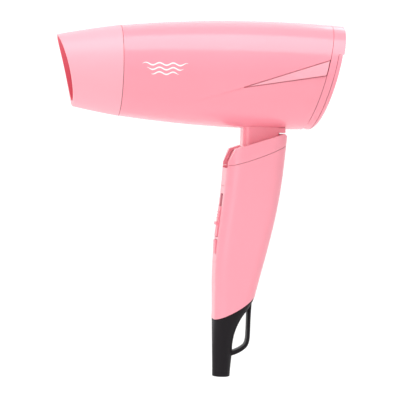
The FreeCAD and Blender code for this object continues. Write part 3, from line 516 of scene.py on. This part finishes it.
def make_strap():
    """The hanging loop: a flat strap from the guard's rear shoulder, down, and back into the tube."""
    corner_steps, steps = 5, 8
    profile = []
    for corner, (out, wide) in enumerate(((1, 1), (-1, 1), (-1, -1), (1, -1))):
        for step in range(corner_steps + 1):
            angle = math.pi / 2 * (corner + step / corner_steps)
            profile.append((out * (1 - STRAP_ROUND) + STRAP_ROUND * math.cos(angle),
                            wide * (STRAP_HALF - STRAP_ROUND) + STRAP_ROUND * math.sin(angle)))
    path = [Vector(row) for row in STRAP_PATH]
    points = []
    for row in range(len(path) - 1):
        before, after = path[max(row - 1, 0)], path[min(row + 2, len(path) - 1)]
        points.extend(through(before, path[row], path[row + 1], after, step / steps) for step in range(steps))
    points.append(path[-1])
    count = len(profile)
    vertices, faces = [], []
    for number, point in enumerate(points):
        ahead = points[min(number + 1, len(points) - 1)] - points[max(number - 1, 0)]
        across = Vector((-ahead.y, ahead.x)).normalized()
        for out, wide in profile:
            offset = across * out * point.z
            vertices.append(Vector((point.x + offset.x, wide, point.y + offset.y)) * MM)
    last = (len(points) - 1) * count
    for first in range(0, last, count):
        bridge(faces, first, first + count, count)
    faces.append(tuple(range(count)))
    faces.append(tuple(last + k for k in reversed(range(count))))
    new_piece("hang_loop_strap", vertices, faces, black_rubber, "handle")


make_guard()
make_strap()


# ---------------------------------------------------------------- studio
def make_stage():
    """A pale floor that curves up into a wall behind the object."""
    floor_z = cad_box[0][2] - 0.09
    radius, reach, back, half_width, wall_height = 0.6, 2.2, 1.6, 3.5, 3.0
    profile = [(-reach, floor_z), (back - radius, floor_z)]
    for step in range(1, 17):
        angle = math.radians(90 * step / 16)
        profile.append((back - radius + radius * math.sin(angle), floor_z + radius * (1 - math.cos(angle))))
    profile.append((back, floor_z + wall_height))
    vertices = [Vector((x, y, z)) for y, z in profile for x in (-half_width, half_width)]
    faces = [(2 * i, 2 * i + 1, 2 * i + 3, 2 * i + 2) for i in range(len(profile) - 1)]
    mesh = bpy.data.meshes.new("studio_floor")
    mesh.from_pydata([tuple(v) for v in vertices], [], faces)
    mesh.shade_smooth()
    material, nodes, links, shader = new_material("studio_white")
    shader.inputs["Base Color"].default_value = (0.82, 0.82, 0.82, 1.0)
    shader.inputs["Roughness"].default_value = 0.9
    shader.inputs["Emission Color"].default_value = (1.0, 1.0, 1.0, 1.0)
    coords = nodes.new("ShaderNodeTexCoord")
    split = nodes.new("ShaderNodeSeparateXYZ")
    links.new(coords.outputs["Object"], split.inputs["Vector"])
    glow = nodes.new("ShaderNodeMapRange")
    glow_from, glow_to = 0.12, 0.5         # the wall glows a little more than the floor
    for socket, value in (("From Min", floor_z), ("From Max", floor_z + radius),
                          ("To Min", glow_from), ("To Max", glow_to)):
        glow.inputs[socket].default_value = value
    links.new(split.outputs["Z"], glow.inputs["Value"])
    links.new(glow.outputs["Result"], shader.inputs["Emission Strength"])
    mesh.materials.append(material)
    floor = bpy.data.objects.new("studio_floor", mesh)
    bpy.context.scene.collection.objects.link(floor)


def add_area(name, place, aim, width, height, power):
    light = bpy.data.lights.new(name, "AREA")
    light.shape = "RECTANGLE"
    light.size, light.size_y = width, height
    light.energy = power
    lamp = bpy.data.objects.new(name, light)
    lamp.location = place
    lamp.rotation_euler = (Vector(aim) - Vector(place)).to_track_quat("-Z", "Y").to_euler()
    bpy.context.scene.collection.objects.link(lamp)


def make_world():
    world = bpy.data.worlds.new("studio_world")
    world.use_nodes = True
    world.node_tree.nodes["Background"].inputs["Color"].default_value = (1.0, 1.0, 1.0, 1.0)
    world.node_tree.nodes["Background"].inputs["Strength"].default_value = 0.66
    bpy.context.scene.world = world
    bpy.context.scene.view_settings.view_transform = "Standard"


def make_camera():
    """The viewpoint: a long lens, slightly ahead of the side view and a little above it."""
    target = Vector((0.0818, 0.0, -0.0861))
    distance, azimuth, elevation, roll = 1.2, math.radians(-8.8), math.radians(2.5), math.radians(1.7)
    seen_width = 0.272
    away = Vector((math.sin(azimuth) * math.cos(elevation), -math.cos(azimuth) * math.cos(elevation),
                   math.sin(elevation)))
    data = bpy.data.cameras.new("camera")
    data.sensor_width = 36.0
    data.lens = 36.0 * distance / seen_width
    data.clip_start, data.clip_end = 0.05, 20.0
    camera = bpy.data.objects.new("camera", data)
    facing = (-away).to_track_quat("-Z", "Y").to_matrix().to_4x4()
    tipped = facing @ Matrix.Rotation(roll, 4, "Z")
    camera.matrix_world = Matrix.Translation(target + away * distance) @ tipped
    bpy.context.scene.collection.objects.link(camera)
    bpy.context.scene.camera = camera


make_stage()
make_world()
make_camera()
LIT_POINT = (0.08, 0.0, -0.08)
for lamp_name, lamp_place, lamp_width, lamp_height, watts in (
        ("overhead_softbox", (0.05, -0.35, 1.0), 1.3, 0.8, 9.5),
        ("front_fill", (-1.1, -1.25, 0.2), 1.0, 1.2, 6.0),
        ("rear_rim", (0.8, 0.9, 0.6), 0.6, 0.8, 3.0)):
    add_area(lamp_name, lamp_place, LIT_POINT, lamp_width, lamp_height, watts)
